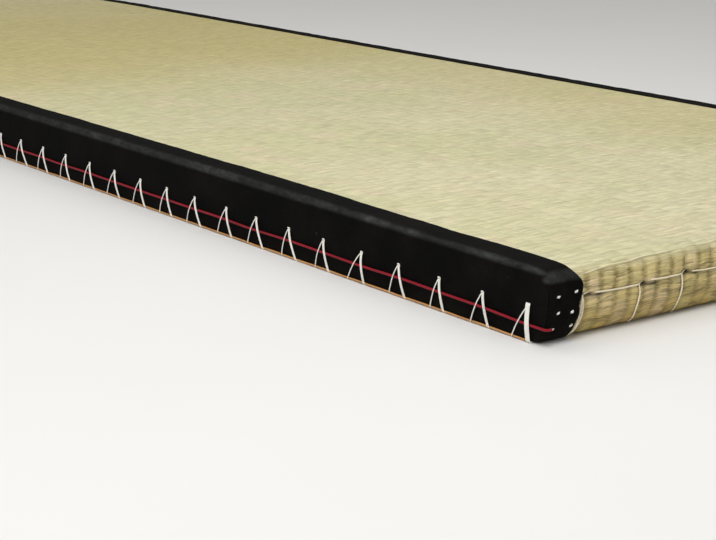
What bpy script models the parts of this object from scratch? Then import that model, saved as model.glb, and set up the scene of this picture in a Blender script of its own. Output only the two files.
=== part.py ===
"""Tatami mat: a stiff straw mat in a woven rush cover, its long sides bound in black cotton.

Metres, +Z up. The origin is at the middle of the underside. +X runs along the mat, the bound long sides
face -Y and +Y, and the rush cover is folded down over the two short ends.
"""

import math

import bmesh
import bpy

LENGTH = 2.000             # over the cloth patches at the ends
WIDTH = 0.700              # over the two bindings
THICKNESS = 0.055          # of the rush-covered mat

GAP = 0.0003               # between neighbouring pieces
CLOTH = 0.0012             # binding cloth on the long sides, above and below
CLOTH_RISE = 0.0008        # how far the binding stands above the rush
PATCH_CLOTH = 0.0030       # the binding folded over itself on the short ends
PATCH_RISE = 0.0018        # how far that patch stands out from the rush end

FLAP_TOP = 0.026           # width of the binding that shows on top
FLAP_UNDER = 0.026         # and underneath
PATCH_HEAD = 0.034         # width of the end patch near the top
PATCH_FOOT = 0.032         # and where its foot starts to draw in

ROLL_RUN = 0.020           # the top rolls over a short end in a curve this long
ROLL_DROP = 0.011          # and this deep
END_UNDERCUT = 0.014       # the foot of a short end is drawn in by this much
END_UNDERCUT_RISE = 0.026  # over this height
EDGE_DEPTH = 0.005         # depth, across the mat, of the rounding of a bound long edge
EDGE_TOP_DROP = 0.007      # the same rounding measured down from the top
EDGE_FOOT_RISE = 0.002     # up from the underside
CORNER_SETBACK = 0.0015    # and in from the short end

ARC_STEPS = 6              # segments in a rounded edge
UNDERCUT_STEPS = 8

RED_CORD_RADIUS = 0.0010
RED_CORD_HEIGHT = 0.0145
RED_CORD_TURN = 0.009      # how far round the corner it runs on to the patch
EDGE_CORD_RADIUS = 0.0008
EDGE_CORD_END = 0.017      # from the end of the mat to the end of the edge cord

# slot name: base colour, roughness, metallic
FINISHES = {
    "rush": ((0.56, 0.50, 0.30), 0.62, 0.0),
    "black_cotton": ((0.012, 0.012, 0.013), 0.80, 0.0),
    "red_cord": ((0.50, 0.03, 0.05), 0.55, 0.0),
    "tan_cord": ((0.62, 0.38, 0.20), 0.65, 0.0),
}


def clear_scene():
    for old in list(bpy.data.objects):
        bpy.data.objects.remove(old, do_unlink=True)


def finish(name):
    """The Principled material of one slot."""
    material = bpy.data.materials.get(name)
    if material is None:
        colour, roughness, metallic = FINISHES[name]
        material = bpy.data.materials.new(name)
        material.use_nodes = True
        shader = material.node_tree.nodes["Principled BSDF"]
        shader.inputs["Base Color"].default_value = (*colour, 1.0)
        shader.inputs["Roughness"].default_value = roughness
        shader.inputs["Metallic"].default_value = metallic
    return material


def place(name, data, slot):
    data.materials.append(finish(slot))
    piece = bpy.data.objects.new(name, data)
    bpy.context.collection.objects.link(piece)
    return piece


def end_curve(half_length, low, high):
    """(x, z) up one short end: the drawn-in foot, the upright face and the rolled-over top edge."""
    foot = [
        (
            half_length - END_UNDERCUT * (1 - math.sin(turn)),
            low + END_UNDERCUT_RISE * (1 - math.cos(turn)),
        )
        for turn in (math.pi / 2 * step / UNDERCUT_STEPS for step in range(UNDERCUT_STEPS + 1))
    ]
    head = [
        (
            half_length - ROLL_RUN * (1 - math.cos(turn)),
            high - ROLL_DROP * (1 - math.sin(turn)),
        )
        for turn in (math.pi / 2 * step / ARC_STEPS for step in range(ARC_STEPS + 1))
    ]
    return foot + head


def outline(half_length, low, high):
    """The mat's closed (x, z) outline as seen from a long side, from the +X foot round to the -X foot."""
    right = end_curve(half_length, low, high)
    return right + [(-x, z) for x, z in reversed(right)]


def edge_distances():
    """How far in from the long side the binding reaches at each point of the outline."""
    steps = [step / UNDERCUT_STEPS for step in range(UNDERCUT_STEPS + 1)]
    foot = [FLAP_UNDER + (PATCH_FOOT - FLAP_UNDER) * step for step in steps]
    steps = [step / ARC_STEPS for step in range(ARC_STEPS + 1)]
    head = [PATCH_HEAD + (FLAP_TOP - PATCH_HEAD) * step for step in steps]
    right = foot + head
    return right + right[::-1]


def ring(half_length, low, high, depths):
    """The outline as 3-D points, each at its own distance in from the -Y long side."""
    flat = outline(half_length, low, high)
    return [(x, depth - WIDTH / 2, z) for (x, z), depth in zip(flat, depths)]


def rounded_rings(half_length, low, high, start):
    """Rings from a long side's flat face, start in from the mat's side, to the end of its rounding."""
    count = len(outline(half_length, low, high))
    rings = []
    for step in range(ARC_STEPS + 1):
        turn = math.pi / 2 * step / ARC_STEPS
        depth = start + EDGE_DEPTH * (1 - math.cos(turn))
        inset = 1 - math.sin(turn)
        rings.append(ring(
            half_length - CORNER_SETBACK * inset,
            low + EDGE_FOOT_RISE * inset,
            high - EDGE_TOP_DROP * inset,
            [depth] * count,
        ))
    return rings


def loft(name, rings):
    """A closed body through the rings, with a flat face on the first and the last."""
    shape = bmesh.new()
    loops = [[shape.verts.new(point) for point in points] for points in rings]
    for near, far in zip(loops, loops[1:]):
        for a, b, c, d in zip(near, near[1:] + near[:1], far[1:] + far[:1], far):
            shape.faces.new((a, b, c, d))
    shape.faces.new(loops[0])
    shape.faces.new(loops[-1])
    bmesh.ops.recalc_face_normals(shape, faces=shape.faces)
    mesh = bpy.data.meshes.new(name)
    shape.to_mesh(mesh)
    shape.free()
    mesh.shade_smooth()
    mesh.set_sharp_from_angle(angle=math.radians(35))
    return mesh


def mirrored(points):
    return [(x, -y, z) for x, y, z in points]


def make_body():
    """The mat in its rush cover, cut back all round under the bindings so that they lie in it."""
    inset = CLOTH + GAP
    bound_end = LENGTH / 2 - PATCH_CLOTH - GAP
    bound = (bound_end, inset, THICKNESS + CLOTH_RISE - inset)
    rush = (LENGTH / 2 - PATCH_RISE, 0.0, THICKNESS)
    edge = [distance + GAP for distance in edge_distances()]
    side = rounded_rings(*bound, inset) + [ring(*bound, edge), ring(*rush, edge)]
    return place("mat_body", loft("mat_body", side + [mirrored(points) for points in side[::-1]]), "rush")


def make_binding(name, turned):
    """One cotton binding: a flap above, the side, a flap below, and a folded patch on each short end."""
    outer = (LENGTH / 2, 0.0, THICKNESS + CLOTH_RISE)
    inner = (LENGTH / 2 - PATCH_CLOTH, CLOTH, THICKNESS + CLOTH_RISE - CLOTH)
    edge = edge_distances()
    rings = rounded_rings(*outer, 0.0) + [ring(*outer, edge), ring(*inner, edge)]
    rings += rounded_rings(*inner, CLOTH)[::-1]
    if turned:
        rings = [mirrored(points) for points in rings]
    return place(name, loft(name, rings), "black_cotton")


def make_cord(name, points, radius, slot, turned):
    route = bpy.data.curves.new(name, "CURVE")
    route.dimensions = "3D"
    route.bevel_depth = radius
    route.bevel_resolution = 2
    route.use_fill_caps = True
    spline = route.splines.new("POLY")
    spline.points.add(len(points) - 1)
    for knot, point in zip(spline.points, mirrored(points) if turned else points):
        knot.co = (*point, 1.0)
    return place(name, route, slot)


def undercut_at(height):
    """How far the foot of a short end is drawn in at this height."""
    fall = 1 - height / END_UNDERCUT_RISE
    return END_UNDERCUT * (1 - math.sqrt(1 - fall * fall))


def red_cord_route():
    """Along the side and a little way round each corner on to the end patch."""
    reach = RED_CORD_RADIUS + GAP
    depth, setback = EDGE_DEPTH + reach, CORNER_SETBACK + reach
    end = LENGTH / 2 - undercut_at(RED_CORD_HEIGHT + RED_CORD_RADIUS) + reach
    corner = []
    for step in range(ARC_STEPS + 1):
        turn = math.pi / 2 * step / ARC_STEPS
        corner.append((
            end - setback * (1 - math.sin(turn)),
            -WIDTH / 2 - reach + depth * (1 - math.cos(turn)),
            RED_CORD_HEIGHT,
        ))
    right = corner + [(end, RED_CORD_TURN - WIDTH / 2, RED_CORD_HEIGHT)]
    return [(-x, y, z) for x, y, z in right[::-1]] + right


def edge_cord_route():
    """Straight along the foot of the side, between the last stitches."""
    reach = EDGE_CORD_RADIUS + GAP
    end = LENGTH / 2 - EDGE_CORD_END
    return [(x, -WIDTH / 2 - reach, reach) for x in (-end, end)]


def build():
    clear_scene()
    make_body()
    for side, turned in (("front", False), ("back", True)):
        make_binding("binding_" + side, turned)
        make_cord("red_cord_" + side, red_cord_route(), RED_CORD_RADIUS, "red_cord", turned)
        make_cord("edge_cord_" + side, edge_cord_route(), EDGE_CORD_RADIUS, "tan_cord", turned)


build()
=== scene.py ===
import math

import bmesh
import bpy
import numpy as np
from mathutils import Matrix, Vector
from mathutils.bvhtree import BVHTree


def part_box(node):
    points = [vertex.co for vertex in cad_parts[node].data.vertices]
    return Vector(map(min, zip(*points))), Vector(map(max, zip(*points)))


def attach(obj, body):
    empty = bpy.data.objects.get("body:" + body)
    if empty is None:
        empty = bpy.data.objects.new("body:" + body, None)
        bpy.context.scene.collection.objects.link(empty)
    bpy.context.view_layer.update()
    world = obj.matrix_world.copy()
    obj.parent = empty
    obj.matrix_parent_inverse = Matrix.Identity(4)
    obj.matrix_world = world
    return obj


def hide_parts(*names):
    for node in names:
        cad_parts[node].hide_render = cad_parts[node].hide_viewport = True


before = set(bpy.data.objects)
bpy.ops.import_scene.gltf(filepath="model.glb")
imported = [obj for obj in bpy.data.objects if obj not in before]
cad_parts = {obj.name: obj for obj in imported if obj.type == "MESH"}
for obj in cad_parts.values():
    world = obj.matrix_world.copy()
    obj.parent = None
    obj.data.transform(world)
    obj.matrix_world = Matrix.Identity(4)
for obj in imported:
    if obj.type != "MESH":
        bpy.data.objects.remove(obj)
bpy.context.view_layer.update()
print("frame loaded:", ", ".join(sorted(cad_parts)))

clothLow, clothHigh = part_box("binding_front")
rushLow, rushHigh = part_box("mat_body")
redLow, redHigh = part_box("red_cord_front")
footLow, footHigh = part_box("edge_cord_front")
halfWidth = -clothLow.y                     # from the middle to a bound side
halfLength = clothHigh.x
redRadius = (redHigh.z - redLow.z) / 2
redHeight = (redHigh.z + redLow.z) / 2
footRadius = (footHigh.z - footLow.z) / 2
footHeight = (footHigh.z + footLow.z) / 2
redLift = 2 * redRadius + 0.0003            # over the red cord
edgeLift = 2 * footRadius + 0.0003          # round the edge cord

# The mat's form, in metres. The rest is worked out from the frame.
mat = {
    "height": rushHigh.z,
    "rollRun": 0.020,          # the top rolls over a short end in a curve this long
    "rollDrop": 0.011,         # and this deep
    "rollShape": 0.80,         # 1 is an ellipse, less has a tighter shoulder
    "undercut": 0.014,         # the foot of a short end is drawn in by this much
    "undercutRise": 0.026,     # over this height
    "edgeDepth": 0.005,        # rounding of a bound long edge, across the mat
    "edgeTopDrop": 0.007,      # the same, down from the top
    "edgeFootRise": 0.002,     # and up from the underside
    "cornerSetback": 0.0015,
    "flap": 0.026,             # width of the binding that shows above and below
    "patchHead": 0.034,        # greatest width of the patches on the short ends
    "patchHeight": 0.042,      # where they are widest
    "patchFoot": 0.0288,       # width at their foot
    "patchRise": 0.0018,       # how far they stand out from the rush
    "coverCut": 0.0015,        # how far the cover is set back under the bindings
    "coverCutTop": 0.0007,     # and on top
    "droop": 0.0024,           # how far the bound edges sink towards the corners
    "droopReach": 0.36,        # along the mat
    "cornerPull": 0.0010,      # and how much more the corners are pulled down
    "cornerReach": 0.07,
    "droopWidth": 0.16,        # both die out this far in from the side
    "crowding": 1.25,          # above 1, mesh columns lie closer towards the short ends
}


# Smooth repeatable noise on numpy arrays: a sum of waves in seeded directions, about -1 to 1.
def waveNoise(seed, size, *axes):
    dice = np.random.default_rng(seed)
    total = 0.0
    for octave in range(7):
        direction = dice.normal(size=len(axes))
        direction *= 2 * math.pi * dice.uniform(0.6, 1.7) / size / np.linalg.norm(direction)
        phase = sum(axis * part for axis, part in zip(axes, direction))
        total = total + np.sin(phase + dice.uniform(0, 2 * math.pi))
    return total / 3.2


def bump(distance, width):
    return np.exp(-((distance / width) ** 2))


def smoothStep(value, low, high):
    part = np.clip((value - low) / (high - low), 0, 1)
    return part * part * (3 - 2 * part)


# How far a point is pulled down as the bound edges sink towards the corners.
def cornerSag(x, inward, z):
    fromEnd = halfLength - np.abs(x)
    sink = mat["droop"] * (1 - smoothStep(fromEnd, 0.10, mat["droopReach"]))
    pull = mat["cornerPull"] * np.clip(1 - fromEnd / mat["cornerReach"], 0, 1) ** 2
    nearSide = np.clip(1 - inward / mat["droopWidth"], 0, 1) ** 1.5
    return (sink + pull) * nearSide * np.clip(z / mat["height"], 0, 1)


def makeMesh(name, points, faces, finish, **attributes):
    mesh = bpy.data.meshes.new(name)
    points = np.asarray(points, np.float32).reshape(-1, 3)
    faces = np.asarray(faces, np.int32)
    mesh.vertices.add(len(points))
    mesh.vertices.foreach_set("co", points.ravel())
    mesh.loops.add(faces.size)
    mesh.loops.foreach_set("vertex_index", faces.ravel())
    mesh.polygons.add(len(faces))
    mesh.polygons.foreach_set("loop_start", np.arange(0, faces.size, faces.shape[1], dtype=np.int32))
    for key, values in attributes.items():
        layer = mesh.attributes.new(key, "FLOAT", "POINT")
        layer.data.foreach_set("value", np.asarray(values, np.float32).ravel())
    mesh.update(calc_edges=True)
    mesh.validate()
    shape = bmesh.new()
    shape.from_mesh(mesh)
    bmesh.ops.recalc_face_normals(shape, faces=shape.faces)
    shape.to_mesh(mesh)
    shape.free()
    mesh.shade_smooth()
    mesh.materials.append(finish)
    piece = bpy.data.objects.new(name, mesh)
    bpy.context.scene.collection.objects.link(piece)
    return piece


def vertexNormals(mesh):
    found = np.empty(len(mesh.vertices) * 3, np.float32)
    mesh.vertices.foreach_get("normal", found)
    return found.reshape(-1, 3)


# Quads that close a ring of an even number of points.
def capFaces(ring):
    half = len(ring) // 2
    return strip(ring[1:half + 1], np.concatenate([ring[:1], ring[:half:-1]]))


# Quads between two index rows, closed into a ring where asked.
def strip(first, second, closed=False):
    if closed:
        first, second = np.append(first, first[0]), np.append(second, second[0])
    return np.stack([first[:-1], first[1:], second[1:], second[:-1]], 1)


# A socket in a finish, so that maths on it reads as an expression.
class Field:
    def __init__(self, finish, socket):
        self.finish, self.socket = finish, socket

    def __add__(self, other):
        return self.finish.maths("ADD", self, other)

    def __radd__(self, other):
        return self.finish.maths("ADD", other, self)

    def __sub__(self, other):
        return self.finish.maths("SUBTRACT", self, other)

    def __rsub__(self, other):
        return self.finish.maths("SUBTRACT", other, self)

    def __mul__(self, other):
        return self.finish.maths("MULTIPLY", self, other)

    def __rmul__(self, other):
        return self.finish.maths("MULTIPLY", other, self)

    def __truediv__(self, other):
        return self.finish.maths("DIVIDE", self, other)

    def __mod__(self, other):
        return self.finish.maths("FLOORED_MODULO", self, other)

    def __pow__(self, other):
        return self.finish.maths("POWER", self, other)


class Finish:
    def __init__(self, name, **constants):
        self.material = bpy.data.materials.new(name)
        self.material.use_nodes = True
        self.tree = self.material.node_tree
        self.shader = self.tree.nodes["Principled BSDF"]
        for key, value in constants.items():
            self.shader.inputs[key.replace("_", " ")].default_value = value

    # Any node: its type, its settings, then the values or links of its sockets.
    def node(self, kind, settings, sockets, output=0):
        made = self.tree.nodes.new("ShaderNode" + kind)
        for key, value in settings.items():
            setattr(made, key, value)
        for key, value in sockets.items():
            self.put(made.inputs[key], value)
        return Field(self, made.outputs[output])

    def put(self, socket, value):
        if isinstance(value, Field):
            self.tree.links.new(value.socket, socket)
        elif hasattr(value, "__len__") and len(value) == 3 and socket.type == "RGBA":
            socket.default_value = (*value, 1.0)
        else:
            socket.default_value = value

    def maths(self, operation, *values):
        return self.node("Math", {"operation": operation}, dict(enumerate(values)))

    def size(self, value):
        return self.maths("ABSOLUTE", value)

    def floor(self, value):
        return self.maths("FLOOR", value)

    def least(self, first, second):
        return self.maths("MINIMUM", first, second)

    def attribute(self, name):
        return self.node("Attribute", {"attribute_name": name}, {}, "Fac")

    def place(self, x, y=0.0, z=0.0):
        return self.node("CombineXYZ", {}, {"X": x, "Y": y, "Z": z})

    def position(self):
        return self.node("TexCoord", {}, {}, "Object")

    def noise(self, vector, scale, detail):
        return self.node("TexNoise", {}, {"Vector": vector, "Scale": scale, "Detail": detail}, "Fac")

    def dice(self, vector):
        return self.node("TexWhiteNoise", {"noise_dimensions": "3D"}, {"Vector": vector}, "Value")

    def ease(self, value, low, high, first=0.0, last=1.0):
        sockets = {"Value": value, "From Min": low, "From Max": high, "To Min": first, "To Max": last}
        return self.node("MapRange", {"interpolation_type": "SMOOTHSTEP"}, sockets)

    def mix(self, amount, first, second):
        settings = {"data_type": "RGBA", "clamp_factor": True}
        return self.node("Mix", settings, {0: amount, 6: first, 7: second}, 2)

    def scaled(self, colour, amount):
        return self.node("VectorMath", {"operation": "SCALE"}, {0: colour, "Scale": amount})

    def feed(self, **values):
        for key, value in values.items():
            self.put(self.shader.inputs[key.replace("_", " ")], value)

    def emboss(self, height, distance, strength=1.0):
        sockets = {"Height": height, "Distance": distance, "Strength": strength}
        self.feed(Normal=self.node("Bump", {}, sockets))


# How far in from a bound side the binding reaches: wider on the short ends, and a little uneven.
def rimReach(x, z):
    flap, foot, head, height = mat["flap"], mat["patchFoot"], mat["patchHead"], mat["patchHeight"]
    patch = foot + (head - foot) * np.minimum(z / height, 1)
    overTop = smoothStep(clothHigh.z - z, 0, clothHigh.z - height)
    return flap + (patch - flap) * overTop + 0.0003 * waveNoise(21, 0.09, x)


# From the middle of the top over the end at +X to the middle of the underside. half, low and high may be
# columns, for one row of points each; counts are the points on each stretch.
def endOutline(half, low, high, counts):
    flat, roll, upright, foot, under = counts
    along = 1 - np.linspace(1, 0, flat, endpoint=False) ** mat["crowding"]
    over = np.linspace(0, math.pi / 2, roll, endpoint=False)
    down = np.linspace(0, 1, upright, endpoint=False)
    tuck = np.linspace(0, math.pi / 2, foot, endpoint=False)
    back = 1 - np.linspace(0, 1, under) ** mat["crowding"]
    brow, knee = high - mat["rollDrop"], low + mat["undercutRise"]
    x = [
        along * (half - mat["rollRun"]),
        half - mat["rollRun"] * (1 - np.sin(over) ** mat["rollShape"]),
        half + 0 * down,
        half - mat["undercut"] * (1 - np.cos(tuck)),
        back * (half - mat["undercut"]),
    ]
    z = [
        high + 0 * along,
        high - mat["rollDrop"] * (1 - np.cos(over) ** mat["rollShape"]),
        brow + (knee - brow) * down,
        low + mat["undercutRise"] * (1 - np.sin(tuck)),
        low + 0 * back,
    ]
    x, z = np.concatenate(x, -1), np.concatenate(z, -1)
    return np.concatenate([x, -x[..., -2:0:-1]], -1), np.concatenate([z, z[..., -2:0:-1]], -1)


# Unit normals in the x z plane of a closed outline.
def outlineNormals(x, z):
    stepX, stepZ = np.roll(x, -1) - np.roll(x, 1), np.roll(z, -1) - np.roll(z, 1)
    length = np.hypot(stepX, stepZ)
    return -stepZ / length, stepX / length


# The stitched seam along each short end.
seam = {
    "height": 0.0318,
    "firstNode": 0.037,      # its upright stitches, from the front side
    "nodePitch": 0.0522,
    "nodes": 13,
    "nodeSpread": 0.0020,
    "seed": 2899,            # picked: the second stitch lies 4 mm far and the third 1 mm near
    "dipLength": 0.0095,     # the thread runs under the rush this far past each upright stitch
    "grooveDepth": 0.0009,
    "dipDepth": 0.0030,
    "pullDepth": 0.0006,     # under an upright stitch
    "besidePatch": 0.0022,   # the first upright stitch runs this far from the patch
    "radius": 0.00070,
    "sunk": 0.00010,
    "secondBow": 0.0028,     # of the first upright's second strand, away from the patch
}


def seamNodes(end):
    dice = np.random.default_rng(seam["seed"] + end)
    places = seam["firstNode"] + seam["nodePitch"] * np.arange(seam["nodes"])
    return places + dice.normal(0, seam["nodeSpread"], len(places)) * (np.arange(len(places)) > 0)


def seamLevel(end, v):
    return seam["height"] + 0.0006 * waveNoise(12 + end, 0.09, v)


# The rush cover, one closed form with a groove over every warp.
rush = {
    "ribPitch": 0.0148,
    "firstWarp": 0.0529,       # from the front side
    "warpDepth": 0.00016,      # of the groove over a warp, on top
    "warpDepthEnd": 0.00050,   # and on the ends
    "warpWidth": 0.0038,
    "ribColumns": 10,          # mesh columns to a rib
    "outline": (40, 16, 14, 16, 12),
    "strandPitch": 0.00135,
    "paleStraw": (0.66, 0.62, 0.39),
    "greenStraw": (0.56, 0.55, 0.29),
    "tanStraw": (0.66, 0.57, 0.36),
    "pinkStraw": (0.76, 0.58, 0.43),
    "darkOliveStraw": (0.55, 0.455, 0.155),
    "endStraw": (0.68, 0.545, 0.235),
    "lowStraw": (0.47, 0.330, 0.078),
    # painted highlight on the folds at the shoulder
    "foldHighlightStraw": (0.95, 0.86, 0.62),
    # painted shade in grooves, between strands and under folds; the second also colours dark strokes in the
    # rush
    "paintedShadeBrown": (0.235, 0.170, 0.042),
    "strokeAndShadeBrown": (0.135, 0.090, 0.026),
    # painted shade in the holes and grooves of the seam
    "hollowBrown": (0.014, 0.009, 0.004),
}


# Distances in from the front side, one row for each column of the mesh, and which rows lie under a binding.
def coverColumns(rim):
    step = rush["ribPitch"] / rush["ribColumns"]
    start = rush["firstWarp"] - 12 * step
    turns = np.linspace(0, math.pi / 2, 5)[:, None]
    side = rushLow.y + halfWidth + mat["edgeDepth"] * (1 - np.cos(turns)) + 0 * rim
    hidden = np.concatenate([side, 0.016 + 0 * rim[None], rim[None] - 0.0004])
    ease = np.linspace(0, 1, 7)[:-1, None]
    near = (rim + 0.0001) * (1 - ease) + start * ease
    middle = np.arange(start, 2 * halfWidth - start + 0.4 * step, step)[:, None] + 0 * rim
    left = np.concatenate([hidden, near])
    covered = np.zeros(len(left) * 2 + len(middle))
    covered[: len(hidden)] = covered[-len(hidden):] = 1
    inset = 0 * covered
    inset[: len(turns)] = 1 - np.sin(turns[:, 0])
    inset[-len(turns):] = inset[: len(turns)][::-1]
    return np.concatenate([left, middle, 2 * halfWidth - left[::-1]]), covered[:, None], inset[:, None]


def makeCover(finish):
    half = clothHigh.x - mat["patchRise"]
    flatX, flatZ = endOutline(half, 0.0, mat["height"], rush["outline"])
    normalX, normalZ = outlineNormals(flatX, flatZ)
    v, covered, inset = coverColumns(rimReach(flatX, flatZ))
    inward = np.minimum(v, 2 * halfWidth - v)
    x, z = endOutline(
        half - mat["coverCut"] * covered - mat["cornerSetback"] * inset,
        mat["coverCut"] * covered + mat["edgeFootRise"] * inset,
        mat["height"] - mat["coverCutTop"] * covered - mat["edgeTopDrop"] * inset,
        rush["outline"],
    )
    y = v - halfWidth
    onEnd, above = np.abs(normalX), np.clip(normalZ, 0, 1)
    shown = smoothStep(inward, mat["flap"], mat["flap"] + 0.007) * (1 - covered)

    # Ribs, and the slight unevenness of hand work.
    phase = (v - rush["firstWarp"]) / rush["ribPitch"]
    fromWarp = np.abs(phase - np.round(phase)) * rush["ribPitch"]
    depth = rush["warpDepth"] + (rush["warpDepthEnd"] - rush["warpDepth"]) * onEnd
    shift = -depth * (1 + 0.4 * waveNoise(3, 0.08, x, y, z)) * bump(fromWarp, rush["warpWidth"])
    shift += 0.00012 * waveNoise(5, 0.012, 0.7 * x, y, z) + 0.00035 * waveNoise(6, 0.17, x, y, z)
    # Creases of the rush where it turns over the end.
    turning = bump(np.abs(normalZ) - 0.75, 0.22) * onEnd * above
    shift += 0.00030 * waveNoise(8, 0.012, 0.12 * y, z) * turning

    # The seam draws the rush in, most of all where its thread dips under.
    # Painted shade: hollow darkens the rush along the seam groove, in the holes where the thread dips under,
    # beside each upright stitch and under the start of each thread span.
    hollow = 0 * shift
    for end in (1, -1):
        here = (np.sign(flatX) == end) * smoothStep(onEnd, 0.2, 0.8)
        fromSeam = z - seamLevel(end, v)
        shift -= seam["grooveDepth"] * bump(fromSeam, 0.0021) * here
        hollow += 0.30 * bump(fromSeam + 0.0006, 0.0013) * here
        shift += 0.0006 * bump(fromSeam - 0.0055, 0.0038) * here
        for node in seamNodes(end):
            dip = bump(v - node - 0.45 * seam["dipLength"], 0.0040) * bump(fromSeam - 0.0008, 0.0013)
            pull = bump(v - node, 0.0016) * smoothStep(-fromSeam, -0.001, 0.002)
            shift -= (seam["dipDepth"] * dip + seam["pullDepth"] * pull) * here
            hollow += (1.3 * dip + 0.35 * bump(v - node + 0.0012, 0.0012) * (fromSeam < 0)) * here
            hollow += 0.8 * bump(v - node - 0.0145, 0.0060) * bump(fromSeam + 0.0013, 0.0009) * here

    x = x + normalX * shift * shown
    z = z + normalZ * shift * shown
    z = np.maximum(z - cornerSag(x, inward, z), 0)
    index = np.arange(v.size).reshape(v.shape)
    faces = [strip(first, second, closed=True) for first, second in zip(index, index[1:])]
    faces += [capFaces(index[0]), capFaces(index[-1])]
    points = np.stack([x, y, z], -1)
    return makeMesh("rushCover", points, np.concatenate(faces), finish, hollow=np.clip(hollow, 0, 1))


# The cotton bindings: each is one strip over a long side, its ends folded over the short ends as patches.
binding = {
    "cloth": 0.0012,
    "patchCloth": 0.0030,      # it lies double on the short ends
    "outline": (400, 12, 20, 15, 398),
    "unevenness": 0.00018,
    "foldLine": 0.0008,        # of the crease at the corner, in from the side
    "foldDepth": 0.0011,
    "dotDepth": 0.0009,
    "dotRadius": 0.00055,      # of the tacking thread
    "threads": 0.00052,        # pitch of the weave
    "flatWidth": 0.107,        # as cut
    "flatLength": 2.060,
    "black": (0.0036, 0.0033, 0.0032),
    "brownish": (0.0100, 0.0085, 0.0062),
    # worn: colour of the upper edges, partly wear and partly a painted highlight
    "worn": (0.066, 0.070, 0.063),
    "lint": (0.20, 0.19, 0.17),
}
# Tacking stitches on each patch, placed one by one: in from the side, and up.
patchDots = [(0.0095, 0.0347), (0.0269, 0.0361), (0.0105, 0.0229), (0.0236, 0.0221), (0.0080, 0.0112),
             (0.0264, 0.0112)]
# The slanting stitches that hold the binding and its two cords to the foot of the side.
zigzag = {
    "apexHeight": 0.0249,
    "firstApex": 0.0629,       # from the rush end
    "pitch": 0.0463,
    "stitches": 41,
    "spread": 0.0012,
    "outReach": 0.0098,        # from an apex to the foot of its single leg, towards -X
    "backReach": 0.0118,       # to the foot of its double leg
    "nearReach": 0.0072,       # and of the double legs next to the ends
    "radius": 0.00050,
    "lowest": 0.00055,         # height of every foot
    "slips": (-0.0006, 0.0008),    # of the two strands of a double leg
    "bow": 0.0002,
}
# The thick last stitch at each corner and the thin one beside it: in from the end, and up.
cornerStitch = {
    "head": (0.0199, 0.0281),
    "foot": 0.0159,
    "strands": 4,
    "halfSpread": 0.0016,
    "thinHead": (0.0217, 0.0236),
    "thinFoot": 0.0323,
}


# Height of the red cord, which hangs lower near the corners.
def redLine(x):
    return redHeight - cords["redDip"] * bump(halfLength - np.abs(x), cords["dipReach"])


def zigzagApexes(seed):
    dice = np.random.default_rng(seed)
    start = halfLength - mat["patchRise"] - zigzag["firstApex"]
    places = start - zigzag["pitch"] * np.arange(zigzag["stitches"])
    spread = dice.normal(0, zigzag["spread"], (3, len(places)))
    near, far = zigzag["nearReach"], zigzag["backReach"]
    back = near + (far - near) * smoothStep(halfLength - np.abs(places), 0.10, 0.40)
    feet = places - zigzag["outReach"] + spread[1], places + back + spread[2]
    return np.stack([places + spread[0], *feet], 1)


# Index grid of a bound side's upright wall: its edges are points of the ring, and its inside is new.
def wallIndex(counts, ring, start):
    flat, roll, upright = counts[:3]
    across = flat + roll + 1
    last = len(ring) // 2
    right, edge = np.arange(across), across - 1 + np.arange(upright + 1)
    grid = np.zeros((upright + 1, 2 * across - 1), int)
    for row, chain in ((0, right), (-1, last - right)):
        grid[row, across - 1:] = ring[chain]
        grid[row, :across] = ring[-chain][::-1]
    grid[:, -1], grid[:, 0] = ring[edge], ring[-edge]
    inside = grid[1:-1, 1:-1]
    grid[1:-1, 1:-1] = start + np.arange(inside.size).reshape(inside.shape)
    return grid


def wallPoints(grid, points):
    upright = len(grid) - 1
    part = (np.arange(1, upright) / upright)[:, None, None]
    top, bottom = points[grid[0, 1:-1]], points[grid[-1, 1:-1]]
    return (top * (1 - part) + bottom * part).reshape(-1, 3)


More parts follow.
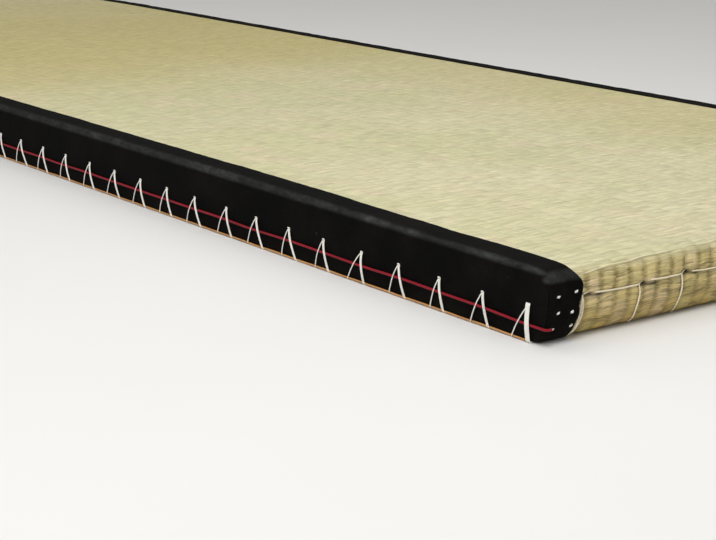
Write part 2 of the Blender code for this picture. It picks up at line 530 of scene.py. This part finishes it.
def makeBinding(name, side, seed, finish):
    cloth, depth = binding["cloth"], mat["edgeDepth"]
    flatX, flatZ = endOutline(halfLength, 0.0, clothHigh.z, binding["outline"])
    normalX = outlineNormals(flatX, flatZ)[0]
    rim = rimReach(flatX, flatZ)
    lipRadius = (cloth + (binding["patchCloth"] - cloth) * np.abs(normalX)) / 2
    none = 0 * rim

    # Rings from the side out over the flap, round its lip, and back inside: inner is 1 on the inside.
    turns = np.linspace(0, math.pi / 2, 9)[:, None]
    flap = np.linspace(0, 1, 14)[1:, None]
    lip = np.linspace(0, math.pi, 5)[1:, None]
    back = np.linspace(1, 0, 4)[1:-1, None]
    inside = np.linspace(math.pi / 2, 0, 4)[:, None]
    v = np.concatenate([
        depth * (1 - np.cos(turns)) + none,
        depth + (rim - lipRadius - depth) * flap,
        rim - lipRadius + lipRadius * np.sin(lip),
        cloth + depth + (rim - lipRadius - cloth - depth) * back,
        cloth + depth * (1 - np.cos(inside)) + none,
    ])
    inner = np.concatenate([0 * turns, 0 * flap, (1 - np.cos(lip)) / 2, 0 * back + 1, 0 * inside + 1])
    inset = np.concatenate([1 - np.sin(turns), 0 * flap, 0 * lip, 0 * back, 1 - np.sin(inside)])
    x, z = endOutline(
        halfLength - binding["patchCloth"] * inner - mat["cornerSetback"] * inset,
        cloth * inner + mat["edgeFootRise"] * inset,
        clothHigh.z - cloth * inner - mat["edgeTopDrop"] * inset,
        binding["outline"],
    )
    index = np.arange(v.size).reshape(v.shape)
    faces = [strip(first, second, closed=True) for first, second in zip(index, index[1:])]
    points = np.stack([x, side * (halfWidth - v), z], -1).reshape(-1, 3)
    outer = (1 - inner + none).ravel()
    for ring, weight in ((index[0], 1), (index[-1], 0)):
        grid = wallIndex(binding["outline"], ring, len(points))
        points = np.concatenate([points, wallPoints(grid, points)])
        outer = np.concatenate([outer, np.full(len(points) - len(outer), weight)])
        faces += [strip(first, second) for first, second in zip(grid, grid[1:])]
    piece = makeMesh(name, points, np.concatenate(faces), finish)
    shapeBinding(piece, points, outer, seed)
    return piece


# Presses the folds and stitches into the outer face of a binding.
def shapeBinding(piece, points, outer, seed):
    x, y, z = points.T
    inward = halfWidth - np.abs(y)
    fromEnd = halfLength - np.abs(x)
    upright = smoothStep(fromEnd, 0.006, 0.002)                  # on a patch
    onSide = smoothStep(inward, 0.003, 0.0005) * (1 - upright)
    finer = 0.5 * waveNoise(seed + 1, 0.014, x, y, z)
    shift = binding["unevenness"] * (waveNoise(seed, 0.045, x, y, z) + finer)
    tall = smoothStep(z, 0.003, 0.007) * smoothStep(z, 0.047, 0.043)
    crease = bump(inward - binding["foldLine"], 0.0006) * tall
    shift -= binding["foldDepth"] * crease * smoothStep(fromEnd, 0.004, 0.002)
    shift += 0.0004 * waveNoise(seed + 2, 0.02, y, z) * upright
    for dotV, dotZ in patchDots:
        away = np.hypot(inward - dotV, z - dotZ)
        shift -= (binding["dotDepth"] * bump(away, 0.0020) + 0.0004 * bump(away, 0.0050)) * upright
    for apex, outFoot, backFoot in zigzagApexes(seed):
        near = np.abs(x - apex) < 0.03
        placeX, height = x[near], z[near]
        dent = 0.0006 * bump(np.hypot(placeX - apex, height - zigzag["apexHeight"]), 0.0022)
        for foot in (outFoot, backFoot):
            leg = foot + (apex - foot) * height / zigzag["apexHeight"]
            dent += 0.00022 * bump(placeX - leg, 0.0016) * smoothStep(height, 0.026, 0.023)
            dent += 0.0005 * bump(placeX - foot, 0.0030) * bump(height, 0.004)
        shift[near] -= dent * onSide[near]
    shift -= 0.00035 * bump(z - redLine(x), 0.0016) * onSide
    moved = points + vertexNormals(piece.data) * (shift * outer)[:, None]
    moved[:, 2] = np.maximum(moved[:, 2] - cornerSag(moved[:, 0], inward, moved[:, 2]), 0)
    piece.data.vertices.foreach_set("co", moved.astype(np.float32).ravel())
    piece.data.update()


# Evenly spaced points along a route through a few given ones, its turns eased.
def easeRoute(points, step, rounds=6):
    points = np.asarray(points, float)
    travel = np.concatenate([[0], np.linalg.norm(np.diff(points, axis=0), axis=1).cumsum()])
    at = np.linspace(0, travel[-1], max(6, round(travel[-1] / step)))
    points = np.stack([np.interp(at, travel, axis) for axis in points.T], 1)
    for turn in range(rounds):
        points[1:-1] = (points[:-2] + 2 * points[1:-1] + points[2:]) / 4
    return points


# A twisted thread or cord along a route: its points, its faces, and how deep each point lies between
# the plies.
def spin(route, radius, plies, twist, sides):
    along = np.gradient(route, axis=0)
    along /= np.linalg.norm(along, axis=1)[:, None]
    aside = np.zeros_like(along)
    last = np.cross(along[0], (0.31, 0.52, 0.79))
    for row, way in enumerate(along):
        last = last - way * (last @ way)
        last /= np.linalg.norm(last)
        aside[row] = last
    across = np.cross(along, aside)
    travel = np.concatenate([[0], np.linalg.norm(np.diff(route, axis=0), axis=1).cumsum()])[:, None]
    around = 2 * math.pi * np.arange(sides) / sides
    ply = np.abs(np.cos(plies * (around - 2 * math.pi * travel / twist) / 2))
    depth = 1 - ply ** 0.8
    ends = np.clip(np.minimum(travel, travel[-1] - travel) / radius, 0.25, 1) ** 0.5
    reach = radius * (1 - 0.26 * depth) * ends
    round_ = aside[:, None] * np.cos(around)[:, None] + across[:, None] * np.sin(around)[:, None]
    points = route[:, None] + round_ * reach[..., None]
    index = np.arange(depth.size).reshape(depth.shape)
    faces = [strip(first, second, closed=True) for first, second in zip(index, index[1:])]
    faces += [capFaces(index[0]), capFaces(index[-1])]
    return points.reshape(-1, 3), np.concatenate(faces), depth.ravel()


def makeThreads(name, routes, finish, radius, plies=2, twist=0.0032, sides=8):
    points, faces, depths, count = [], [], [], 0
    for route in routes:
        spots, quads, depth = spin(route, radius, plies, twist, sides)
        points.append(spots)
        faces.append(quads + count)
        depths.append(depth)
        count += len(spots)
    points, faces, depths = (np.concatenate(parts) for parts in (points, faces, depths))
    return makeMesh(name, points, faces, finish, furrow=depths)


surfaces = {}      # search trees of the pieces that thread is laid on


# Points moved on to the surface of a piece, as seen along a direction, and lifted off it by a distance.
def lay(piece, points, direction, lift):
    points = np.asarray(points, float)
    way = np.array(direction, float)
    tree = surfaces.setdefault(piece.name, BVHTree.FromObject(piece, bpy.context.evaluated_depsgraph_get()))
    landed = []
    for point in points:
        spot = tree.ray_cast(Vector(point - way * 0.05), Vector(way))[0]
        landed.append(point if spot is None else np.array(spot))
    return np.array(landed) - way * np.reshape(lift, (-1, 1))


# Zigzag stitches of one side. Each comes up at an apex and goes down both ways, over the red cord and
# round the edge cord. The leg towards +X is double.
def zigzagRoutes(piece, side, seed):
    top, low = zigzag["apexHeight"], zigzag["lowest"]
    firstSlip, secondSlip = zigzag["slips"]
    routes = []
    for apex, outFoot, backFoot in zigzagApexes(seed):
        for foot, slip in ((outFoot, 0.0), (backFoot, firstSlip), (backFoot, secondSlip)):
            bow = zigzag["bow"] * np.sign(foot - apex)
            routes.append(sideLeg(piece, side, (apex + slip, top), (foot + slip, low), bow))
        knot = [(apex - 0.0016, top - 0.0007), (apex, top + 0.0006), (apex + 0.0016, top - 0.0006)]
        routes.append(sideBar(piece, side, knot))
    headIn, headUp = cornerStitch["head"]
    thinIn, thinUp = cornerStitch["thinHead"]
    spread = cornerStitch["halfSpread"]
    for end in (1, -1):
        for slip in np.linspace(-spread, spread, cornerStitch["strands"]):
            head = (end * (halfLength - headIn) + slip, headUp)
            foot = (end * (halfLength - cornerStitch["foot"]) + slip, low)
            routes.append(sideLeg(piece, side, head, foot, 0))
        head = (end * (halfLength - thinIn), thinUp)
        foot = (end * (halfLength - cornerStitch["thinFoot"]), low)
        routes.append(sideLeg(piece, side, head, foot, 0))
    return routes


# One leg down the side, from its head in the cloth to its foot under the edge cord.
def sideLeg(piece, side, head, foot, bow):
    part = np.linspace(0, 1, 44)
    x = head[0] + (foot[0] - head[0]) * part + bow * np.sin(math.pi * part)
    z = head[1] + (foot[1] - head[1]) * part
    y = np.full(len(x), side * halfWidth)
    over = np.interp(z, (footHeight, redLine(x[0]), head[1]), (edgeLift, redLift, 0))
    lift = zigzag["radius"] * 0.8 + over
    lift[0] = -0.0011
    lift[1] = -0.0002
    high = lay(piece, np.stack([x, y, np.maximum(z, 0.003)], 1), (0, -side, 0), lift)
    high[:, 2] = z
    tuck = np.array([[0, side * (halfWidth + 0.0012), 0], [0, side * (halfWidth - 0.0006), 0]])
    tuck = high[-1] * (1, 0, 1) + tuck
    return easeRoute(np.concatenate([high, tuck]), 0.0009, 3)


# A short bar of thread on the side, both its ends sunk in the cloth.
def sideBar(piece, side, points):
    x, z = np.array(points).T
    spots = np.stack([x, np.full(len(x), side * halfWidth), z], 1)
    return easeRoute(lay(piece, spots, (0, -side, 0), [-0.0003, zigzag["radius"] * 1.5, -0.0003]), 0.0005, 3)


# The seam of a short end: thread runs from stitch to stitch over the rush, turns down, and dips under it.
def seamRoutes(piece, end):
    nodes = seamNodes(end)
    reach = halfLength - mat["patchRise"]
    way = (-end, 0, 0)
    outward = seam["radius"] - seam["sunk"]
    routes = []
    for place, node in enumerate(nodes):
        level = seamLevel(end, node)
        z = np.linspace(level, 0.0009, 60)
        v = node + 0.0005 * np.sin(9 * z / level + place)
        if place == 0:
            v = np.minimum(v, rimReach(reach, z) + seam["besidePatch"])
        down = np.stack([np.full(len(z), end * reach), v - halfWidth, z], 1)
        if place == 0:
            # The first upright is double.
            bow = seam["secondBow"] * np.sin(math.pi * np.linspace(0, 1, len(z)) ** 0.8)
            second = lay(piece, down + np.outer(bow, (0, 1, 0)), way, outward)
            routes.append(easeRoute(second, 0.0007, 3))
            across = np.zeros((0, 3))
        else:
            start = nodes[place - 1] + seam["dipLength"]
            along = np.linspace(start, node, 50)
            part = (along - start) / (node - start)
            rise = level + 0.0009 * (1 - part) - 0.0006 * np.sin(math.pi * part)
            across = np.stack([np.full(len(along), end * reach), along - halfWidth, rise], 1)[:-1]
        run = lay(piece, np.concatenate([across, down]), way, 0)
        run[:, 0] = end * (settle(np.abs(run[:, 0]), len(across)) + outward)
        if place:
            run[0, 0] -= end * 0.0030
            run[1, 0] -= end * 0.0018
            run[2, 0] -= end * 0.0006
        routes.append(easeRoute(run, 0.0007, 3))
        into = np.stack([np.full(4, end * reach), node + np.linspace(-0.0008, 0.0060, 4) - halfWidth,
                         level + np.linspace(0.0, 0.0013, 4)], 1)
        into = lay(piece, into, way, [0.0004, 0.0006, 0.0002, -0.0015])
        routes.append(easeRoute(into, 0.0006, 3))
    return routes


# A taut thread bridges the hollows under it: it follows a smoothed line nowhere below the surface.
def settle(height, turn):
    line = height.copy()
    for part in (slice(0, turn), slice(turn, None)):
        run = line[part]
        for again in range(30 if turn and part.stop == turn else 8):
            if len(run) > 4:
                run[1:-1] = np.maximum(run[1:-1], (run[:-2] + run[2:]) / 2)
    return line


def dotRoutes(piece, side, end, seed):
    dice = np.random.default_rng(seed)
    routes = []
    for inward, height in patchDots:
        tilt = dice.normal(0.25, 0.25)
        for slip in (-0.00035, 0.00045):
            reach = np.linspace(-0.0017, 0.0017, 5)
            v = inward + reach * math.cos(tilt) - slip * math.sin(tilt)
            z = height + reach * math.sin(tilt) + slip * math.cos(tilt)
            spots = np.stack([np.full(5, end * halfLength), side * (halfWidth - v), z], 1)
            lifts = (-0.0009, 0.0002, 0.00045, 0.0002, -0.0009)
            routes.append(easeRoute(lay(piece, spots, (-end, 0, 0), lifts), 0.0005, 2))
    return routes


# The two cords along a side: the red one laid over the binding, the tan one along its foot.
cords = {
    "redTwist": 0.0072,
    "tanTwist": 0.0046,
    "redDip": 0.0018,      # the red cord hangs lower near the corners
    "dipReach": 0.060,
    "redEnd": 0.0048,      # where it ends on the patch, in from the side
    "crimson": (0.28, 0.004, 0.015),
    "crimsonShade": (0.065, 0.0015, 0.004),
    "tan": (0.55, 0.285, 0.105),
    "tanShade": (0.26, 0.12, 0.045),
    "white": (0.90, 0.88, 0.82),
    "whiteShade": (0.55, 0.51, 0.44),
    "cream": (0.95, 0.87, 0.66),
    "creamShade": (0.50, 0.41, 0.25),
}


def redRoute(side, seed):
    reach = redRadius + 0.0003
    depth, setback = mat["edgeDepth"] + reach, mat["cornerSetback"] + reach
    fall = 1 - (redHeight + redRadius) / mat["undercutRise"]
    end = halfLength - mat["undercut"] * (1 - math.sqrt(1 - fall * fall)) + reach
    turns = np.linspace(math.pi / 2, 0, 9)
    round_ = 0.0007 * np.sin(2 * turns)        # keeps it clear of the corner
    corner = np.stack([end - setback * (1 - np.cos(turns)) + round_,
                       depth * (1 - np.sin(turns)) - reach - round_], 1)
    kept = corner[corner[:, 1] < cords["redEnd"] - 0.001]
    corner = np.concatenate([kept, [(end - 0.0014, cords["redEnd"])]])
    corner = corner[::-1] if corner[0, 1] < corner[-1, 1] else corner
    straight = np.linspace(end - setback - 0.006, -end + setback + 0.006, 300)
    x = np.concatenate([corner[:, 0], straight, -corner[::-1, 0]])
    inward = np.concatenate([corner[:, 1], 0 * straight - reach, corner[::-1, 1]])
    z = redLine(x) + 0.00035 * waveNoise(seed, 0.11, x)
    return easeRoute(np.stack([x, side * (halfWidth - inward), z], 1), 0.0008, 3)


def edgeRoute(side, seed):
    x = np.linspace(footHigh.x, footLow.x, 500)
    y = side * (halfWidth + footRadius + 0.0003) + 0 * x
    z = footRadius + 0.0003 + 0.00015 * (1 + waveNoise(seed, 0.05, x))
    return easeRoute(np.stack([x, y, z], 1), 0.0009, 2)


def rushFinish():
    make = Finish("wovenRush", IOR=1.45)
    spot = make.position()
    x, y, z = (make.node("SeparateXYZ", {}, {0: spot}, axis) for axis in "XYZ")
    along = x + make.maths("SIGN", x) * (mat["height"] - z)    # over the end and back underneath
    across = y + halfWidth
    onEnd = make.ease(z, 0.0525, 0.042)
    under = make.ease(z, 0.030, 0.002)

    # Ribs between the warps, and strands across them, which change places from rib to rib.
    sway = make.noise(make.place(along * 14, across * 5), 1, 2)
    rib = (across - rush["firstWarp"]) / rush["ribPitch"] + (sway - 0.5) * 0.10
    ribNumber, inRib = make.floor(rib), rib % 1
    fromWarp = make.least(inRib, 1 - inRib)
    waver = make.noise(make.place(along * 120, ribNumber * 3.7), 1, 2)
    slant = (inRib - 0.5) * (ribNumber % 2 - 0.5) * 1.5
    strand = along / rush["strandPitch"] + ribNumber * 0.5 + waver * 2.2 + slant
    strandNumber, inStrand = make.floor(strand), strand % 1
    crown = 1 - make.size(inStrand * 2 - 1) ** 2.2
    arch = make.ease(fromWarp, 0.0, 0.30)
    tone = make.dice(make.place(ribNumber, strandNumber, 3))
    second = make.dice(make.place(ribNumber + 0.5, strandNumber, 8))
    longTone = make.dice(make.place(strandNumber, 0.5, 5))

    # Straw colours, from wide patches down to single strands.
    patch = make.noise(spot, 5, 3)
    smaller = make.noise(spot, 26, 3)
    streak = make.noise(make.place(along * 230, across * 60), 1, 3)
    flushed = make.ease(make.noise(make.place(x * 13, y * 20, 4), 1, 3), 0.53, 0.70)
    colour = make.mix(make.ease(patch, 0.42, 0.62) * 0.55, rush["paleStraw"], rush["greenStraw"])
    colour = make.mix(make.ease(smaller, 0.50, 0.68) * 0.45, colour, rush["tanStraw"])
    colour = make.mix(flushed * 0.35, colour, rush["pinkStraw"])
    # Painted shade: the straw is drawn darker and more olive towards the far left and towards the back,
    # where the light falls off.
    paintedFalloff = make.ease(x, 0.32, -0.12) * make.ease(x, -0.95, -0.30, 0.40, 0.78)
    paintedFalloff = make.maths("MAXIMUM", paintedFalloff, make.ease(y, -0.02, 0.28) * 0.42)
    colour = make.mix(paintedFalloff, colour, rush["darkOliveStraw"])
    low = make.ease(z, 0.034, 0.006)
    colour = make.mix(onEnd * 0.9, colour, make.mix(low, rush["endStraw"], rush["lowStraw"]))
    cell = make.dice(make.place(ribNumber, make.floor(along / 0.017 + ribNumber * 0.37), 12))
    colour = make.mix(make.ease(cell, 0.62, 1.0) * onEnd * 0.35, colour, rush["pinkStraw"])
    colour = make.mix(make.ease(cell, 0.38, 0.0) * onEnd * 0.40, colour, rush["darkOliveStraw"])
    single = 0.5 - onEnd * 0.3
    colour = make.mix(make.ease(second, 0.80, 1.0) * single, colour, rush["greenStraw"])
    colour = make.mix(make.ease(second, 0.14, 0.0) * single, colour, rush["tanStraw"])
    light = 0.81 + (tone * 0.22 + longTone * 0.08) * (1 + onEnd * 0.6) + (streak - 0.5) * 0.55
    colour = make.scaled(colour, light * (1 - under * 0.12))

    # Painted shade: in the grooves over the warps, broken by the strands; between strands; and along the
    # seam. Dark strokes in the rush of the ends.
    band = make.ease(fromWarp + (streak - 0.5) * 0.16, 0.33, 0.04) * (1 - low * 0.35)
    warpGrooveShade = band * (0.02 + onEnd * 0.74) * (0.50 + second * 0.60)
    strandGapShade = make.ease(inStrand, 0.60, 0.10) * make.ease(second, 0.50, 0.76) * (0.11 + onEnd * 0.30)
    stroke = make.ease(make.noise(make.place(along * 400, across * 46, 7), 1, 2), 0.53, 0.68) * onEnd * 0.62
    colour = make.mix(warpGrooveShade, colour, rush["paintedShadeBrown"])
    colour = make.mix(stroke, colour, rush["strokeAndShadeBrown"])
    colour = make.mix(strandGapShade, colour, rush["strokeAndShadeBrown"])
    colour = make.mix(make.attribute("hollow"), colour, rush["hollowBrown"])

    # Fine folds along the shoulder are painted: a painted highlight on each crest and painted shade below
    # it.
    fold = make.size(along) - halfLength - 0.0048 + across * 0.045
    fold = fold + (make.noise(make.place(across * 34, 0.5, x), 1, 2) - 0.5) * 0.006
    broken = make.ease(make.noise(make.place(across * 30, 3.5, x), 1, 2), 0.44, 0.60)
    broken = broken * make.ease(across, 0.24, 0.12)
    foldHighlight = make.ease(make.size(fold), 0.0010, 0.0002) * broken
    shade = make.ease(make.size(fold - 0.0017), 0.0016, 0.0003) * broken
    colour = make.mix(shade * 0.40, colour, rush["paintedShadeBrown"])
    colour = make.mix(foldHighlight * 0.55, colour, rush["foldHighlightStraw"])
    make.feed(Base_Color=colour, Roughness=0.50 + tone * 0.16)
    make.emboss((crown * (0.6 + second * 0.4) + arch * 0.6 + streak * 0.2) * (1 + onEnd * 0.4), 0.00035, 0.8)
    return make.material


def cottonFinish():
    make = Finish("blackCotton", Specular_IOR_Level=0.04)
    spot = make.position()
    facing = make.node("NewGeometry", {}, {}, "True Normal")
    x, y, z = (make.node("SeparateXYZ", {}, {0: spot}, axis) for axis in "XYZ")
    sideways = make.node("SeparateXYZ", {}, {0: facing}, "X")
    upwards = make.node("SeparateXYZ", {}, {0: facing}, "Z")
    onPatch = make.maths("GREATER_THAN", make.size(sideways), 0.6)
    onFlap = make.maths("GREATER_THAN", make.size(upwards), 0.7)
    warp = (x + (y - x) * onPatch) / binding["threads"]
    weft = (z + (y - z) * onFlap) / binding["threads"]
    slub = make.noise(make.place(warp * 0.05, weft * 0.6, onPatch), 1, 3)
    weave = make.maths("SINE", (warp + slub) * math.pi) * make.maths("SINE", weft * math.pi)
    worn = make.noise(spot, 90, 4)
    cloudy = make.ease(make.noise(spot, 22, 4), 0.42, 0.72)
    low = make.ease(z, 0.014, 0.0)
    colour = make.mix(cloudy * 0.5 + low * 0.4, binding["black"], binding["brownish"])
    # Wear and a painted highlight make the cloth pale along the upper edges and the shoulders of the
    # patches.
    inward = halfWidth - make.size(y)
    fromEnd = halfLength - make.size(x)
    edge = make.ease(inward, 0.0055, 0.0012) * make.ease(z, 0.0480, 0.0515)
    brow = make.ease(fromEnd, 0.010, 0.003) * make.ease(z, 0.0435, 0.0465)
    grain = make.noise(make.place(x * 160, y * 420, z * 420), 1, 3)
    wearAndHighlight = make.maths("MAXIMUM", edge, brow * 0.8) * (0.40 + cloudy * 0.45)
    wearAndHighlight = wearAndHighlight * make.ease(grain, 0.30, 0.66, 0.70, 1.15)
    colour = make.mix(wearAndHighlight, colour, binding["worn"])
    colour = make.scaled(colour, 0.75 + weave * 0.22 + (worn - 0.5) * 0.9)
    hair = make.noise(make.place(warp * 0.28, weft * 0.16, onFlap), 1, 4)
    speck = make.ease(hair, 0.735, 0.80)
    colour = make.mix(speck, colour, binding["lint"])
    make.feed(Base_Color=colour, Roughness=0.70 + worn * 0.18)
    make.emboss(weave * 0.5 + slub * 0.8 + worn * 0.5, 0.00016, 0.7)
    return make.material


# Cotton thread and cord: painted shade between the plies, so lighter on the plies than between them, with
# fine fibres along it.
def threadFinish(name, colour, shade, size):
    make = Finish(name, Sheen_Weight=0.06, Sheen_Roughness=0.5, Specular_IOR_Level=0.2)
    spot = make.position()
    furrow = make.attribute("furrow")
    fibre = make.noise(spot, 2600, 2)
    length = make.noise(spot, size, 3)
    soiled = make.ease(length, 0.40, 0.72)
    # Painted shade between the plies, from how deep each point lies, and soiled patches, both in the shade
    # colour.
    tinted = make.mix(make.ease(furrow, 0.25, 1.0) * 0.75 + soiled * 0.30, colour, shade)
    tinted = make.scaled(tinted, 0.80 + fibre * 0.26 + length * 0.14)
    make.feed(Base_Color=tinted, Roughness=0.62 + fibre * 0.2)
    make.emboss(fibre, 0.00012, 0.6)
    return make.material


def floorFinish():
    make = Finish("paleFloor")
    spot = make.position()
    grain = make.noise(spot, 3, 5)
    fine = make.noise(spot, 260, 3)
    colour = make.mix(grain, studio["floor"], studio["floorShade"])
    make.feed(Base_Color=colour, Roughness=0.55 + fine * 0.15)
    make.emboss(fine, 0.0002, 0.25)
    return make.material


studio = {
    "lens": 82.0,
    "cameraPlace": (1.7429, -1.1234, 0.3294),
    "heading": 50.816,         # degrees round from +Y towards -X
    "pitch": 14.642,           # degrees down
    "roll": 1.689,
    "floor": (0.80, 0.795, 0.78),
    "floorShade": (0.76, 0.755, 0.74),
    "floorReach": 12.0,
    "world": (1.0, 0.985, 0.955),
    "worldStrength": 0.42,
}
# Soft lights: place, what each one faces, width and power in watts.
lamps = {
    "overhead": ((0.55, -0.1, 1.6), (0.55, -0.1, 0.0), 1.4, 6),
    "key": ((1.3, -0.75, 1.6), (0.72, -0.1, 0.0), 0.8, 12),
    "front": ((1.3, -2.3, 1.2), (0.7, -0.3, 0.0), 1.2, 15.5),
    "left": ((-1.6, -0.7, 1.4), (0.6, -0.3, 0.0), 1.0, 4.5),
    "back": ((-0.5, 1.9, 2.2), (0.0, 0.2, 0.0), 2.0, 8),
}


def makeCamera():
    camera = bpy.data.objects.new("camera", bpy.data.cameras.new("camera"))
    bpy.context.scene.collection.objects.link(camera)
    camera.data.lens = studio["lens"]
    camera.data.sensor_width = 36
    camera.data.clip_end = 60
    turn = Matrix.Rotation(math.radians(studio["heading"]), 4, "Z")
    tilt = Matrix.Rotation(math.radians(90 - studio["pitch"]), 4, "X")
    roll = Matrix.Rotation(math.radians(studio["roll"]), 4, "Z")
    camera.matrix_world = Matrix.Translation(studio["cameraPlace"]) @ turn @ tilt @ roll
    bpy.context.scene.camera = camera


def makeLamps():
    for name, (place, target, width, power) in lamps.items():
        lamp = bpy.data.objects.new(name, bpy.data.lights.new(name, "AREA"))
        lamp.data.shape = "DISK"
        lamp.data.size = width
        lamp.data.energy = power
        lamp.location = place
        lamp.rotation_euler = (Vector(target) - Vector(place)).to_track_quat("-Z", "Y").to_euler()
        bpy.context.scene.collection.objects.link(lamp)
    world = bpy.data.worlds.new("studioWorld")
    world.use_nodes = True
    world.node_tree.nodes["Background"].inputs["Color"].default_value = (*studio["world"], 1)
    world.node_tree.nodes["Background"].inputs["Strength"].default_value = studio["worldStrength"]
    bpy.context.scene.world = world
    bpy.context.scene.view_settings.view_transform = "Standard"


def makeFloor():
    reach = studio["floorReach"]
    corners = [(-reach, -reach, 0), (reach, -reach, 0), (reach, reach, 0), (-reach, reach, 0)]
    makeMesh("floor", corners, [(0, 1, 2, 3)], floorFinish())


def settlePiece(piece, slot, *nodes):
    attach(piece, "root")
    if nodes:
        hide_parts(*nodes)
    return piece


cotton = cottonFinish()
whiteThread = threadFinish("whiteThread", cords["white"], cords["whiteShade"], 60)
creamThread = threadFinish("creamThread", cords["cream"], cords["creamShade"], 60)
redThread = threadFinish("redThread", cords["crimson"], cords["crimsonShade"], 40)
tanThread = threadFinish("tanThread", cords["tan"], cords["tanShade"], 50)
print("finishes made")

cover = settlePiece(makeCover(rushFinish()), "rush", "mat_body")
print("rush cover woven:", len(cover.data.polygons), "faces")

for name, side, seed in (("Front", -1, 40), ("Back", 1, 60)):
    cloth = makeBinding("binding" + name, side, seed, cotton)
    settlePiece(cloth, "black_cotton", "binding_" + name.lower())
    stitches = makeThreads("zigzag" + name, zigzagRoutes(cloth, side, seed), whiteThread, zigzag["radius"])
    settlePiece(stitches, "pale_thread")
    tacks = sum((dotRoutes(cloth, side, end, seed + end) for end in (1, -1)), [])
    settlePiece(makeThreads("patchStitches" + name, tacks, whiteThread, binding["dotRadius"]), "pale_thread")
    route = [redRoute(side, seed)]
    red = makeThreads("redCord" + name, route, redThread, redRadius, 3, cords["redTwist"], 12)
    settlePiece(red, "red_cord", "red_cord_" + name.lower())
    route = [edgeRoute(side, seed)]
    tan = makeThreads("edgeCord" + name, route, tanThread, footRadius, 3, cords["tanTwist"], 12)
    settlePiece(tan, "tan_cord", "edge_cord_" + name.lower())
    print(name.lower(), "binding, stitches and cords made")

for name, end in (("Right", 1), ("Left", -1)):
    thread = makeThreads("endSeam" + name, seamRoutes(cover, end), creamThread, seam["radius"])
    settlePiece(thread, "pale_thread")
print("end seams sewn")

makeFloor()
makeLamps()
makeCamera()
print("camera, lights and floor set")
